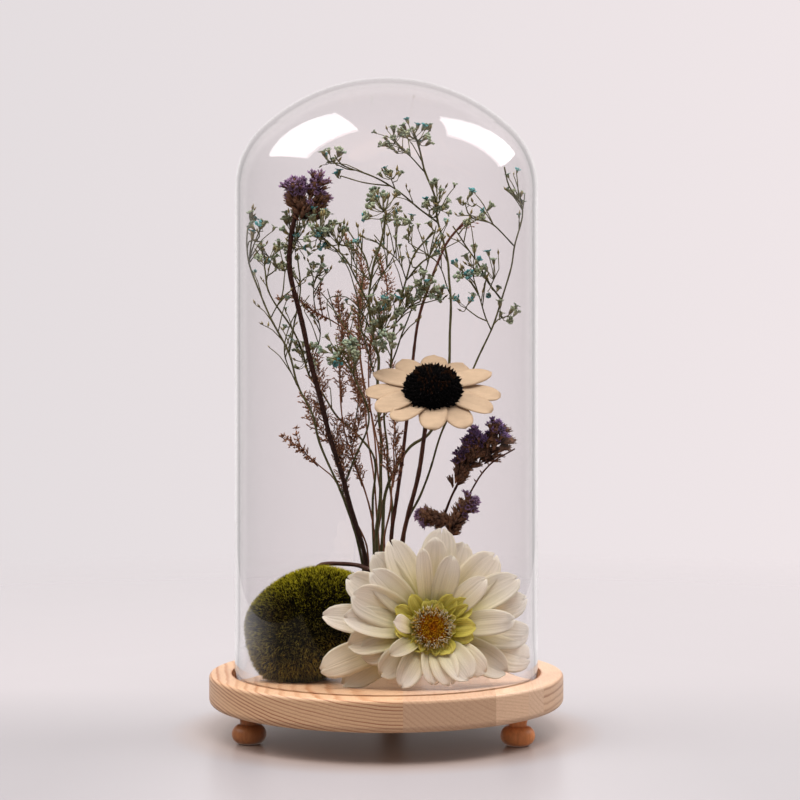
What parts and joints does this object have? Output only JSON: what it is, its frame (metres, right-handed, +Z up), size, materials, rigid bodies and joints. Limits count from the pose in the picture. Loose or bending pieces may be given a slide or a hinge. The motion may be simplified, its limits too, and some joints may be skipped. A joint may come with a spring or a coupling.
{
  "type": "bell jar dome",
  "caption": "Tall glass bell jar that lifts off a round footed wooden base, over dried and cloth flowers and a moss-covered stone.",
  "frame": {"origin": "on the floor under the centre of the round base board", "axes": "+Z up along the dome, front towards -Y, +X to the right seen from the front"},
  "size_m": [0.14, 0.14, 0.258],
  "materials": {
    "board_wood": "pale beech or birch, satin lacquer, edge-glued strips",
    "foot_wood": "turned hardwood, warm brown satin stain",
    "clear_glass": "clear blown glass, polished",
    "floral_foam": "dark green dry floral foam",
    "stone_core": "rigid foam core",
    "moss": "olive and yellow-green flocked moss",
    "wrapped_wire": "dark brown paper-wrapped wire",
    "green_cloth": "yellow-green thin cloth",
    "cream_cloth": "thin cream cloth, pleated",
    "fringe": "grey-brown thread fringe round an orange centre",
    "shaving": "thin dried wood shavings",
    "dark_cone": "black bristly seed head",
    "twig": "dried reddish-brown stem",
    "statice": "dried papery violet and brown calyces",
    "limonium": "dried papery sage-green florets",
    "caspia": "dried feathery rust-brown sprays"
  },
  "bodies": {
    "base": {"stave_left": "board_wood", "stave_middle": "board_wood", "stave_right": "board_wood", "stave_narrow": "board_wood", "stave_edge": "board_wood", "foot_front_left": "foot_wood", "foot_front_right": "foot_wood", "foot_back": "foot_wood", "floral_foam": "floral_foam", "stone_core": "stone_core", "moss_cover": "moss", "gerbera_stem": "wrapped_wire", "gerbera_calyx": "green_cloth", "gerbera_petals_back": "cream_cloth", "gerbera_petals_front": "cream_cloth", "gerbera_florets": "green_cloth", "gerbera_core": "fringe", "daisy_stem": "twig", "daisy_petals_lower": "shaving", "daisy_petals_upper": "shaving", "daisy_cone": "dark_cone", "statice_left": "statice", "statice_right_upper": "statice", "statice_right_lower": "statice", "limonium_left": "limonium", "limonium_back_left": "limonium", "limonium_middle": "limonium", "limonium_centre": "limonium", "limonium_tall": "limonium", "limonium_right": "limonium", "caspia_left": "caspia", "caspia_long": "caspia", "caspia_middle": "caspia", "caspia_back": "caspia", "caspia_rear": "caspia", "caspia_right": "caspia", "bare_stem": "twig"},
    "dome": {"glass_dome": "clear_glass"}
  },
  "joints": [
    {"name": "dome_lift", "type": "slide", "parent": "base", "child": "dome", "axis": [0, 0, 1], "range_m": [0, 0.24]}
  ]
}
